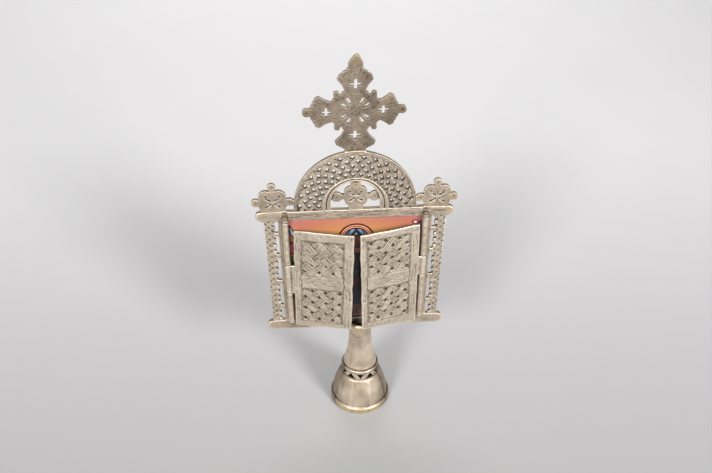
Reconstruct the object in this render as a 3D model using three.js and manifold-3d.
// A cast table cross with two hinged doors over a painted panel, standing on a bell-shaped foot.
// Millimetres, +Z up. The origin is on the ground under the middle of the plate. Its front looks along -Y.
import * as THREE from 'three';
import { mergeVertices } from 'three/addons/utils/BufferGeometryUtils.js';
import Module from 'manifold-3d';

const wasm = await Module();
wasm.setup();

// Thicknesses and clearances
const plateThickness = 3;
const railThickness = 4.4;
const archRimProud = 0.4;
const archRingProud = 0.8;
const latticeThickness = 2.2;
const seatGap = 0.3;

// Steps along the round outlines
const rodSides = 10;
const discSides = 12;
const bellSides = 30;
const stemSides = 22;
const cupSides = 16;
const archSteps = 25;
const ringSteps = 16;
const knobSteps = 8;
const endSteps = 4;

// How far joined parts reach into each other, and how far a cut runs past the face that it opens
const sink = 1.5;

// The bell foot, from the ground up
const footOffset = 4;
const rimRadius = 26.8;
const rimHeight = 6.4;
const rimRounding = 1.1;
const waistRadius = 24.7;
const bodyHeight = 26.4;
const shoulderRadius = 17.1;
const bandHeight = 6.4;
const bandTopRadius = 16.2;
const ringHeight = 2.4;
const ringRadius = 15.8;
const bellWall = 1.8;
const piercingCount = 12;
const piercingWidth = 5.6;
const piercingHeight = 4.6;
const piercingTurn = 3;
const piercingShare = 0.52;

// The bell's body, as shares of its height and of its flare
const bellCurve = [[0, 1], [0.36, 0.84], [0.68, 0.5], [0.86, 0.17], [1, 0]];

// The stem, a cone that ends in a slotted cup
const stemHeight = 47.6;
const stemLipRadius = 14.6;
const stemTopRadius = 9.3;
const cupWall = 1.7;
const cupDepth = 11;
const slotDepth = 5.8;

// The stem's side, as shares of its height and of its flare
const stemCurve = [
  [0.02, 1], [0.04, 0.88], [0.13, 0.7], [0.25, 0.46], [0.38, 0.25], [0.55, 0.1], [0.75, 0.03], [1, 0],
];

// The frame that holds the painted panel
const barHeight = 9.6;
const barOverhang = 3.7;
const pillarHeight = 98.6;
const corniceHeight = 8.2;
const corniceOverhang = 5.5;
const openingHalfWidth = 51.5;
const stileWidth = 7.8;
const windowWidth = 2.8;
const pillarWidth = 8.4;
const pillarTaper = 1.2;
const pillarScallop = 5.5;
const scallopDepth = 0.8;
const windowScallopDepth = 0.56;
const bridgeHeight = 4;
const bridgeShares = [0.145, 0.405, 0.665, 0.87];
const pocketDepth = 2.2;
const panelThickness = 1;

// The arch and its lattice
const archRadius = 46.8;
const archStilt = 1.6;
const archRim = 2.9;
const ringOuterRadius = 25.6;
const openingRadius = 18.6;
const openingStilt = 5.7;
const latticeRows = 5;
const latticePitch = 12;
const latticeMargin = 2.1;
const latticeHole = 1.8;
const latticeShifts = [0.75, 0.25];

// The three small knobbed crosses
const capitalReach = 12.7;
const capitalKnob = 3.3;
const capitalPetal = 5.6;
const capitalRise = 7.8;
const innerCrossX = 0.3;
const innerCrossRise = 10.6;
const innerKnob = 4.2;
const innerKnobBite = 0.5;
const innerPetal = 4.7;
const leafSlitWidth = 1.5;
const leafTurns = [38, 142, 215, 325];

// A small cross in shares of its petal: where the petals lie, its foot, and a leaf slit from tip to tip
const petalSpread = 0.88;
const petalRise = 0.84;
const petalDrop = 0.62;
const crossFootShare = 1.2;
const leafCurve = [[0.32, 0], [0.75, 1], [1.1, 1], [1.3, 0], [1.1, -1], [0.75, -1]];

// The great cross
const crossRise = 30.8;
const finialReach = 40.3;
const finialHalfWidth = 5.2;
const finialLean = 1.3;
const knobRadius = 3.2;
const slitInner = 5.2;
const slitOuter = 11.2;
const slitWidth = 2.2;
const slitPoint = 0.6;
const slitShoulder = 0.77;
const rayTurns = [27, 58, 122, 153, 207, 238, 303, 331];
const knobOverlap = 0.85;
const tipSetback = [1.5, 0.9];
const tipScallops = 3;
const tipScallopDepth = 0.9;
const hollowShare = [0.5, 0.36];

// The finial's side: shares of its reach, of its half width and of its lean
const finialCurve = [
  [0.785, -1, 0.1], [0.82, -1.03, 0.25], [0.88, -0.82, 0.5], [0.955, -0.42, 0.8], [1, 0, 1],
];

// The great cross's four cross-shaped holes, from its middle
const plusHoles = [
  { x: 0.2, z: 19.2, halfWidth: 4, halfHeight: 3.8, bar: 1.6, post: 1.9 },
  { x: -0.3, z: -18.2, halfWidth: 4.2, halfHeight: 3.2, bar: 1.6, post: 2 },
  { x: -20.3, z: -0.9, halfWidth: 3.2, halfHeight: 3.4, bar: 1.7, post: 1.6 },
  { x: 19.6, z: 0.3, halfWidth: 4.2, halfHeight: 3.2, bar: 1.5, post: 1.8 },
];

// The doors and their hinges
const hingeInset = 2.3;
const barrelRadius = 2.5;
const barrelWeb = 3;
const pinRadius = 1.1;
const pinClearance = 0.3;
const pinHeadRadius = 3.1;
const pinHeadHeight = 4;
const knuckleGap = 0.4;
const leafThickness = 2;
const meetingGap = 0.5;
const panelSink = 0.5;
const pitDepth = 0.5;
const pitHalfDiagonal = 2.3;
const pitSpacing = 5.4;

// A pin's head, as shares of its radius and of its height
const pinHeadCurve = [[0, 0], [0.75, 0], [1, 0.35], [0.95, 0.7], [0.6, 1], [0, 1]];

// Bulges in a row of scallops, as shares of one bulge's length and of its depth
const roundCrest = [[0.25, 0.85], [0.75, 0.85], [1, 0]];
const plainCrest = [[0.5, 1], [1, 0]];

// Arms of the great cross: how far out the neck, the side lobe and the end lie, each with its half width
const armEast = { turn: 0, neck: [15.2, 6.9], lobe: [24, 11.8], end: [30, 2.9], lift: 0.3 };
const armNorth = { turn: 90, neck: [14.6, 7.2], lobe: [22.8, 12.7], end: [30.8, 3.8], lift: 0 };
const armWest = { turn: 180, neck: [16.2, 7.2], lobe: [25.4, 11.7], end: [31.2, 2.9], lift: 0.6 };
const armSouth = { turn: 270, neck: [14.2, 8], lobe: [23.2, 14.9], end: [28.4, 7.7], lift: 0 };
const cornerLobe = [
  [16.4, 7.8], [14.7, 9.2], [15.2, 13], [14.3, 14.3], [11.5, 14.2], [10.1, 11], [8.9, 13.7], [7.5, 13.6],
];

// The doors: hinge side and meeting side lean together, the low edge laps the bottom bar, then the rails
const leftLeaf = {
  side: -1, ajarAngle: 13.5, hingeFoot: 3.6, hingeHead: 6.6, footNarrowing: 2.9,
  headGap: 6.2, lapAtHinge: 1.8, lapAtMeeting: 1.2, knuckleLowShare: 0.32, knuckleHighShare: 0.6,
  hingeRail: 5.8, meetingRail: 7.8, topRail: 8.4, middleRail: 14, bottomRail: 5.2, middleShare: 0.49,
};
const rightLeaf = {
  side: 1, ajarAngle: 15.7, hingeFoot: 3.6, hingeHead: 4.6, footNarrowing: 2.2,
  headGap: 5, lapAtHinge: 4.2, lapAtMeeting: -0.4, knuckleLowShare: 0.46, knuckleHighShare: 0.64,
  hingeRail: 7.6, meetingRail: 5.4, topRail: 6.4, middleRail: 14, bottomRail: 6.4, middleShare: 0.5,
};

// Heights that follow from the sizes above
const footTop = rimHeight + bodyHeight + bandHeight + ringHeight;
const stemBottom = footTop + seatGap;
const stemTop = stemBottom + stemHeight;
const barBottom = stemTop - slotDepth + seatGap;
const barTop = barBottom + barHeight;
const corniceBottom = barTop + pillarHeight;
const corniceTop = corniceBottom + corniceHeight;
const archCentre = corniceTop + archStilt;
const openingCentre = corniceTop + openingStilt;
const crossCentre = archCentre + archRadius + crossRise;

// Depths and widths that follow: the plate is centred on Y = 0 with its front towards -Y
const plateFront = -plateThickness / 2;
const plateBack = plateThickness / 2;
const railFront = -railThickness / 2;
const railBack = railThickness / 2;
const stileOuter = openingHalfWidth + stileWidth;
const pillarInner = stileOuter + windowWidth;
const pillarOuter = pillarInner + pillarWidth;
const corniceHalfLength = pillarOuter + corniceOverhang;
const barHalfLength = pillarOuter + barOverhang;
const capitalX = pillarInner;
const innerReach = openingRadius - innerKnob;
const innerTopReach = openingCentre + innerReach - corniceTop - innerCrossRise + innerKnobBite;
const hingeX = openingHalfWidth + hingeInset;
const hingeY = plateFront - seatGap - barrelRadius;

const metal = new THREE.MeshStandardMaterial({ color: 0xb3a793, roughness: 0.42, metalness: 0.9 });
const brightMetal = new THREE.MeshStandardMaterial({ color: 0xc2b79c, roughness: 0.32, metalness: 0.9 });
const pinMetal = new THREE.MeshStandardMaterial({ color: 0x8d8272, roughness: 0.5, metalness: 0.9 });
const paint = new THREE.MeshStandardMaterial({ color: 0xe58a5a, roughness: 0.45, metalness: 0 });

function rad(degrees) {
  return THREE.MathUtils.degToRad(degrees);
}

function blend(from, to, share) {
  return from + (to - from) * share;
}

// A closed solid from a geometry whose vertices are welded and whose collapsed triangles are dropped
function solidOf(geometry) {
  const bare = geometry.clone();
  bare.deleteAttribute('normal');
  bare.deleteAttribute('uv');
  const welded = mergeVertices(bare, 1e-4);
  const index = welded.index.array;
  const corners = [];
  for (let i = 0; i < index.length; i += 3) {
    const [a, b, c] = [index[i], index[i + 1], index[i + 2]];
    if (a !== b && b !== c && c !== a) {
      corners.push(a, b, c);
    }
  }
  const vertProperties = new Float32Array(welded.attributes.position.array);
  const triVerts = new Uint32Array(corners);
  return new wasm.Manifold(new wasm.Mesh({ numProp: 3, vertProperties, triVerts }));
}

function geometryOf(solid) {
  const mesh = solid.getMesh();
  const geometry = new THREE.BufferGeometry();
  geometry.setAttribute('position', new THREE.BufferAttribute(mesh.vertProperties, 3));
  geometry.setIndex(new THREE.BufferAttribute(mesh.triVerts, 1));
  geometry.computeVertexNormals();
  return geometry;
}

function joined(solids) {
  return solids.reduce((sum, next) => sum.add(next));
}

// A drawing in X and Z made into a plate from the depth front back to the depth back
function plateOf(points, front, back, holes = []) {
  const shape = new THREE.Shape(points.map(([x, z]) => new THREE.Vector2(x, z)));
  for (const hole of holes) {
    shape.holes.push(new THREE.Path(hole.map(([x, z]) => new THREE.Vector2(x, z))));
  }
  const geometry = new THREE.ExtrudeGeometry(shape, { depth: back - front, bevelEnabled: false });
  geometry.rotateX(Math.PI / 2);
  geometry.translate(0, back, 0);
  return solidOf(geometry);
}

function box(x0, x1, z0, z1, front, back) {
  return plateOf([[x0, z0], [x1, z0], [x1, z1], [x0, z1]], front, back);
}

function arc(x, z, radius, from, to, steps) {
  const points = [];
  for (let i = 0; i <= steps; i += 1) {
    const angle = rad(blend(from, to, i / steps));
    points.push([x + radius * Math.cos(angle), z + radius * Math.sin(angle)]);
  }
  return points;
}

function disc(x, z, radius, front = plateFront, back = plateBack) {
  return plateOf(arc(x, z, radius, 0, 360, discSides).slice(0, -1), front, back);
}

function shifted(points, dx, dz) {
  return points.map(([x, z]) => [x + dx, z + dz]);
}

function turnedBy(points, degrees) {
  const [c, s] = [Math.cos(rad(degrees)), Math.sin(rad(degrees))];
  return points.map(([a, b]) => [a * c - b * s, a * s + b * c]);
}

// A bar with half-round ends
function roundBar(halfLength, z0, z1) {
  const radius = (z1 - z0) / 2;
  const right = arc(halfLength - radius, z0 + radius, radius, -90, 90, endSteps);
  const left = arc(radius - halfLength, z0 + radius, radius, 90, 270, endSteps);
  return plateOf([...right, ...left], railFront, railBack);
}

// A row of bulges from one point to another, on the left of the way there
function scallops(from, to, count, depth, crest = roundCrest) {
  const [dx, dz] = [to[0] - from[0], to[1] - from[1]];
  const length = Math.hypot(dx, dz);
  const points = [from];
  for (let i = 0; i < count; i += 1) {
    for (const [share, height] of crest) {
      const along = (i + share) / count;
      const out = depth * height / length;
      points.push([from[0] + dx * along - dz * out, from[1] + dz * along + dx * out]);
    }
  }
  return points;
}

// A solid of revolution about an upright axis, from points of radius and height
function turned(profile, sides) {
  const points = profile.map(([radius, height]) => new THREE.Vector2(radius, height));
  const geometry = new THREE.LatheGeometry(points, sides);
  geometry.rotateX(Math.PI / 2);
  return solidOf(geometry);
}

function rod(radius, z0, z1, sides = rodSides) {
  return turned([[0, z0], [radius, z0], [radius, z1], [0, z1]], sides);
}

// The bell foot: an open bell with a rounded rim, a curved body, a pierced band and a top ring
function bellFoot() {
  const bodyTop = rimHeight + bodyHeight;
  const bandTop = bodyTop + bandHeight;
  const flare = waistRadius - shoulderRadius;
  const body = bellCurve.map(([up, out]) => [shoulderRadius + flare * out, rimHeight + bodyHeight * up]);
  const outer = [
    [rimRadius - rimRounding, 0],
    [rimRadius, rimRounding],
    [rimRadius, rimHeight - rimRounding * 1.5],
    [rimRadius - rimRounding, rimHeight - rimRounding * 0.3],
    ...body,
    [bandTopRadius, bandTop],
    [ringRadius, blend(bandTop, footTop, 0.35)],
    [ringRadius - ringHeight * 0.3, footTop],
    [0, footTop],
  ];
  const inner = body.map(([radius, height]) => [radius - bellWall, height - bellWall * 0.4]).reverse();
  const ceiling = bandTop - bellWall * 0.4;
  const inside = [[0, ceiling], [bandTopRadius - bellWall, ceiling], ...inner, [waistRadius - bellWall, 0]];
  const bell = turned([...inside, ...outer], bellSides);
  const middle = bodyTop + bandHeight * piercingShare;
  const triangle = [[-0.5, 0.5], [0, -0.5], [0.5, 0.5]];
  const drawn = triangle.map(([x, z]) => [x * piercingWidth, middle + z * piercingHeight]);
  const tools = [];
  for (let i = 0; i < piercingCount; i += 1) {
    const wedge = plateOf(drawn, -shoulderRadius - bellWall, bellWall * 2 - bandTopRadius);
    tools.push(wedge.rotate([0, 0, piercingTurn + 360 * i / piercingCount]));
  }
  return bell.subtract(joined(tools)).translate([footOffset, 0, 0]);
}

// The stem: a flaring cone with a lip below and a slotted cup on top that takes the bottom bar
function stem() {
  const flare = stemLipRadius - stemTopRadius;
  const side = stemCurve.map(([up, out]) => [stemTopRadius + flare * out, stemBottom + stemHeight * up]);
  const cone = turned([[0, stemBottom], [stemLipRadius - flare * 0.1, stemBottom], ...side, [0, stemTop]],
    stemSides);
  const cup = rod(stemTopRadius - cupWall, stemTop - cupDepth, stemTop + sink, cupSides);
  const half = railThickness / 2 + seatGap;
  const slot = box(-stemLipRadius, stemLipRadius, stemTop - slotDepth, stemTop + sink, -half, half);
  return cone.subtract(joined([cup, slot])).translate([footOffset, 0, 0]);
}

// One arm of the great cross in counter-clockwise order: lower flank out, its end, upper flank back
function armOutline({ turn, neck, lobe, end, lift }, tip) {
  const hollow = [blend(neck[0], lobe[0], hollowShare[0]), blend(neck[1], lobe[1], hollowShare[1])];
  const shoulder = [lobe[0] + tipSetback[0], lobe[1] - tipSetback[1]];
  const upper = [neck, hollow, lobe, ...scallops(shoulder, end, tipScallops, tipScallopDepth)];
  const lower = upper.map(([along, across]) => [along, -across]);
  return turnedBy(shifted([...lower, ...tip, ...upper.reverse()], 0, lift), turn);
}

function cornerPoints(signX, signZ) {
  const points = cornerLobe.map(([x, z]) => [x * signX, z * signZ]);
  return signX * signZ > 0 ? points : points.reverse();
}

// A small upright cross-shaped hole
function plusHole({ x, z, halfWidth, halfHeight, bar, post }) {
  const [b, p] = [bar / 2, post / 2];
  const outline = [
    [halfWidth, -b], [halfWidth, b], [p, b], [p, halfHeight], [-p, halfHeight], [-p, b],
    [-halfWidth, b], [-halfWidth, -b], [-p, -b], [-p, -halfHeight], [p, -halfHeight], [p, -b],
  ];
  return shifted(outline, x, z);
}

// A wedge-shaped slit that points at the middle of the great cross
function raySlit(degrees) {
  const [shoulder, half, point] = [slitOuter - slitShoulder, slitWidth / 2, slitPoint / 2];
  const side = [[slitInner, -point], [shoulder, -half]];
  const otherSide = [[shoulder, half], [slitInner, point]];
  return turnedBy([...side, [slitOuter, 0], ...otherSide], degrees);
}

function greatCross() {
  const finialSide = (hand) => finialCurve.map(([up, out, lean]) => {
    return [up * finialReach, hand * out * finialHalfWidth - lean * finialLean];
  });
  const finialTip = [...finialSide(1), ...finialSide(-1).reverse().slice(1)];
  const knobOf = (arm) => arc(arm.end[0] + knobRadius * knobOverlap, 0, knobRadius, -115, 115, knobSteps);
  const reachDown = crossRise + archRim;
  const join = [[reachDown, -armSouth.end[1]], [reachDown, armSouth.end[1]]];
  const outline = [
    ...armOutline(armEast, knobOf(armEast)),
    ...cornerPoints(1, 1),
    ...armOutline(armNorth, finialTip),
    ...cornerPoints(-1, 1),
    ...armOutline(armWest, knobOf(armWest)),
    ...cornerPoints(-1, -1),
    ...armOutline(armSouth, join),
    ...cornerPoints(1, -1),
  ];
  const holes = [...rayTurns.map(raySlit), ...plusHoles.map(plusHole)];
  const raised = (points) => shifted(points, 0, crossCentre);
  return plateOf(raised(outline), plateFront, plateBack, holes.map(raised));
}

// A small cross of four petals with knobs left, right and on top, and leaf slits between
function knobbedCross(x, z, reach, topReach, knob, petal) {
  const spread = petal * petalSpread;
  const parts = [disc(x - reach, z, knob), disc(x + reach, z, knob), disc(x, z + topReach, knob)];
  for (const side of [-1, 1]) {
    parts.push(disc(x + side * spread, z + petal * petalRise, petal));
    parts.push(disc(x + side * spread, z - petal * petalDrop, petal));
  }
  const footHalf = petal * crossFootShare;
  parts.push(box(x - footHalf, x + footHalf, corniceTop - sink, z - petal, plateFront, plateBack));
  parts.push(box(x - reach, x + reach, z - knob * 0.5, z + knob * 0.5, plateFront, plateBack));
  parts.push(box(x - knob * 0.6, x + knob * 0.6, z - petal, z + topReach, plateFront, plateBack));
  const half = leafSlitWidth / 2;
  const slit = leafCurve.map(([along, across]) => [along * petal, -across * half]);
  const slits = leafTurns.map((turn) => {
    return plateOf(shifted(turnedBy(slit, turn), x, z), plateFront - sink, plateBack + sink);
  });
  return joined(parts).subtract(joined(slits));
}

// The arch: a pierced band between a proud rim and a proud ring round the small opening
function arch() {
  const bottom = corniceTop - sink;
  const rimOut = arc(0, archCentre, archRadius, 0, 180, archSteps);
  const outline = [[archRadius, bottom], ...rimOut, [-archRadius, bottom]];
  const sill = bottom + sink / 2;
  const head = arc(0, openingCentre, openingRadius, 0, 180, ringSteps);
  const opening = [[openingRadius, sill], ...head, [-openingRadius, sill]];
  const inner = archRadius - archRim;
  const rowStep = (inner - ringOuterRadius - latticeMargin * 2) / (latticeRows - 1);
  const holes = [opening];
  for (let row = 0; row < latticeRows; row += 1) {
    const radius = ringOuterRadius + latticeMargin + rowStep * row;
    for (let angle = latticePitch * latticeShifts[row % 2]; angle < 180; angle += latticePitch) {
      const [x, z] = arc(0, archCentre, radius, angle, angle, 1)[0];
      if (z > corniceTop + latticeHole) {
        holes.push(arc(x, z, latticeHole, angle, angle + 360, 4).slice(0, -1));
      }
    }
  }
  const band = plateOf(outline, -latticeThickness / 2, latticeThickness / 2, holes);
  const rimIn = arc(0, archCentre, inner, 180, 0, archSteps);
  const rim = plateOf([...rimOut, ...rimIn], plateFront - archRimProud, plateBack);
  const ringOut = arc(0, archCentre, ringOuterRadius, 0, 180, ringSteps);
  const ringIn = arc(0, openingCentre, openingRadius, 180, 0, ringSteps);
  const ringShape = [
    [ringOuterRadius, bottom], ...ringOut, [-ringOuterRadius, bottom],
    [-openingRadius, bottom], ...ringIn, [openingRadius, bottom],
  ];
  const ring = plateOf(ringShape, plateFront - archRingProud, plateBack);
  return joined([band, rim, ring]);
}

// One pierced pillar, with the stile beside it and the bridges between them; side is 1 on the right
function pillar(side) {
  const [low, high] = [barTop - sink, corniceBottom + sink];
  const count = Math.round(pillarHeight / pillarScallop);
  const edge = pillarOuter - scallopDepth;
  const outer = scallops([edge, high], [edge - pillarTaper, low], count, scallopDepth);
  const inner = scallops([pillarInner, low], [pillarInner, high], count, windowScallopDepth, plainCrest);
  const mirrored = (points) => (side > 0 ? points : points.map(([x, z]) => [-x, z]).reverse());
  const parts = [plateOf(mirrored([...outer, ...inner]), plateFront, plateBack)];
  const strip = [[openingHalfWidth, low], [stileOuter, low], [stileOuter, high], [openingHalfWidth, high]];
  parts.push(plateOf(mirrored(strip), plateFront, plateBack));
  for (const share of bridgeShares) {
    const z = barTop + pillarHeight * share;
    const [x0, x1] = [stileOuter - sink, pillarInner + sink];
    const [z0, z1] = [z - bridgeHeight / 2, z + bridgeHeight / 2];
    const bridge = [[x0, z0], [x1, z0], [x1, z1], [x0, z1]];
    parts.push(plateOf(mirrored(bridge), plateFront, plateBack));
  }
  return joined(parts);
}

// Heights of a door's knuckle, which the two fixed barrels leave room for
function knuckle(leaf) {
  return [barTop + pillarHeight * leaf.knuckleLowShare, barTop + pillarHeight * leaf.knuckleHighShare];
}

function hingeLine(solid, leaf) {
  return solid.translate([leaf.side * hingeX, hingeY, 0]);
}

// The two barrels of one hinge that stay on the frame, each on a web that reaches the plate
function fixedBarrels(leaf) {
  const [low, high] = knuckle(leaf);
  const spans = [[barTop + knuckleGap, low - knuckleGap], [high + knuckleGap, corniceBottom + knuckleGap]];
  const parts = [];
  for (const [z0, z1] of spans) {
    parts.push(rod(barrelRadius, z0, z1));
    parts.push(box(-barrelWeb / 2, barrelWeb / 2, z0, z1, 0, plateFront - hingeY + sink / 2));
  }
  return hingeLine(joined(parts), leaf);
}

function hingeBore(leaf) {
  const low = barTop + knuckleGap;
  return hingeLine(rod(pinRadius + pinClearance, low, corniceTop + sink), leaf);
}

function headRecess(leaf) {
  const room = rod(pinHeadRadius + seatGap, corniceBottom + knuckleGap, corniceTop + sink);
  return hingeLine(room, leaf);
}

// The whole casting: crosses, arch, cornice, pillars, bottom bar, hinge barrels and the panel's pocket
function crossPlate() {
  const back = box(-openingHalfWidth - sink, openingHalfWidth + sink, barTop - sink, corniceBottom + sink,
    plateFront + pocketDepth, plateBack);
  const capital = (side) => knobbedCross(side * capitalX, corniceTop + capitalRise, capitalReach,
    capitalReach, capitalKnob, capitalPetal);
  const inner = knobbedCross(innerCrossX, corniceTop + innerCrossRise, innerReach, innerTopReach,
    innerKnob, innerPetal);
  const parts = [
    greatCross(), arch(), inner, capital(-1), capital(1),
    roundBar(corniceHalfLength, corniceBottom, corniceTop),
    roundBar(barHalfLength, barBottom, barTop),
    pillar(-1), pillar(1), back, fixedBarrels(leftLeaf), fixedBarrels(rightLeaf),
  ];
  const tools = [leftLeaf, rightLeaf].flatMap((leaf) => [hingeBore(leaf), headRecess(leaf)]);
  return joined(parts).subtract(joined(tools));
}

// The painted panel in the pocket of the casting
function iconPanel() {
  const half = openingHalfWidth - seatGap;
  const back = plateFront + pocketDepth - seatGap;
  return box(-half, half, barTop + seatGap, corniceBottom - seatGap, back - panelThickness, back);
}

// A hinge pin with a flattened, knotted head above the upper barrel
function hingePin(leaf) {
  const low = barTop + knuckleGap + seatGap;
  const neck = corniceBottom + knuckleGap + seatGap;
  const head = pinHeadCurve.map(([out, up]) => [out * pinHeadRadius, neck + up * pinHeadHeight]);
  return joined([rod(pinRadius, low, neck + sink), turned(head, rodSides)]);
}

// A door leaf drawn from the hinge axis along +X, closed, with its knuckle, sunk panels and diamond pits
function doorLeaf(leaf) {
  const meetingHead = hingeX - meetingGap / 2;
  const head = corniceBottom - leaf.headGap;
  const footAtHinge = barTop - leaf.lapAtHinge;
  const footAtMeeting = barTop - leaf.lapAtMeeting;
  const height = head - footAtMeeting;
  const up = (z) => (z - footAtMeeting) / height;
  const hingeSide = (z) => blend(leaf.hingeFoot, leaf.hingeHead, up(z));
  const meetingSide = (z) => meetingHead - leaf.footNarrowing * (1 - up(z));
  const corners = [
    [hingeSide(footAtHinge), footAtHinge], [meetingSide(footAtMeeting), footAtMeeting],
    [meetingSide(head), head], [hingeSide(head), head],
  ];
  const half = leafThickness / 2;
  const [low, high] = knuckle(leaf);
  const reach = hingeSide((low + high) / 2) + sink;
  const parts = [
    plateOf(corners, -half, half),
    rod(barrelRadius, low, high),
    box(0, reach, low, high, -half, half),
  ];
  const tools = [rod(pinRadius + pinClearance, low - sink, high + sink)];
  const middle = footAtMeeting + height * leaf.middleShare;
  const panels = [
    [footAtMeeting + leaf.bottomRail, middle - leaf.middleRail / 2],
    [middle + leaf.middleRail / 2, head - leaf.topRail],
  ];
  for (const [z0, z1] of panels) {
    const inside = (z) => [hingeSide(z) + leaf.hingeRail, meetingSide(z) - leaf.meetingRail];
    const [a0, b0] = inside(z0);
    const [a1, b1] = inside(z1);
    tools.push(plateOf([[a0, z0], [b0, z0], [b1, z1], [a1, z1]], -half - sink, panelSink - half));
    tools.push(...pits(a0, b0, z0, z1, a1 - a0, half));
  }
  return joined(parts).subtract(joined(tools));
}

// Diamond pits between the crossing straps of one door panel, every other place on a square grid
function pits(x0, x1, z0, z1, lean, half) {
  const columns = Math.floor((x1 - x0) / pitSpacing);
  const rows = Math.floor((z1 - z0) / pitSpacing);
  const depth = panelSink + pitDepth - half;
  const found = [];
  for (let row = 0; row < rows; row += 1) {
    for (let column = row % 2; column < columns; column += 2) {
      const z = blend(z0, z1, (row + 0.5) / rows);
      const x = blend(x0, x1, (column + 0.5) / columns) + lean * (row + 0.5) / rows;
      found.push(plateOf(arc(x, z, pitHalfDiagonal, 0, 360, 4).slice(0, -1), -half - sink, depth));
    }
  }
  return found;
}

const cross = new THREE.Group();

function addPiece(name, solid, material, parent = cross) {
  const piece = new THREE.Mesh(geometryOf(solid), material);
  piece.name = name;
  parent.add(piece);
}

// A group on one door's hinge axis, turned about it by an angle in degrees
function hingeGroup(leaf, turn) {
  const group = new THREE.Group();
  group.position.set(leaf.side * hingeX, hingeY, 0);
  group.rotation.z = rad(turn);
  cross.add(group);
  return group;
}

addPiece('cross_plate', crossPlate(), metal);
addPiece('icon_panel', iconPanel(), paint);
addPiece('stem', stem(), brightMetal);
addPiece('bell_foot', bellFoot(), brightMetal);
for (const [name, leaf] of [['left', leftLeaf], ['right', rightLeaf]]) {
  const drawn = doorLeaf(leaf);
  const placed = leaf.side > 0 ? drawn.mirror([1, 0, 0]) : drawn;
  addPiece(`${name}_door`, placed, metal, hingeGroup(leaf, leaf.side * leaf.ajarAngle));
  addPiece(`${name}_hinge_pin`, hingePin(leaf), pinMetal, hingeGroup(leaf, 0));
}

export default cross;
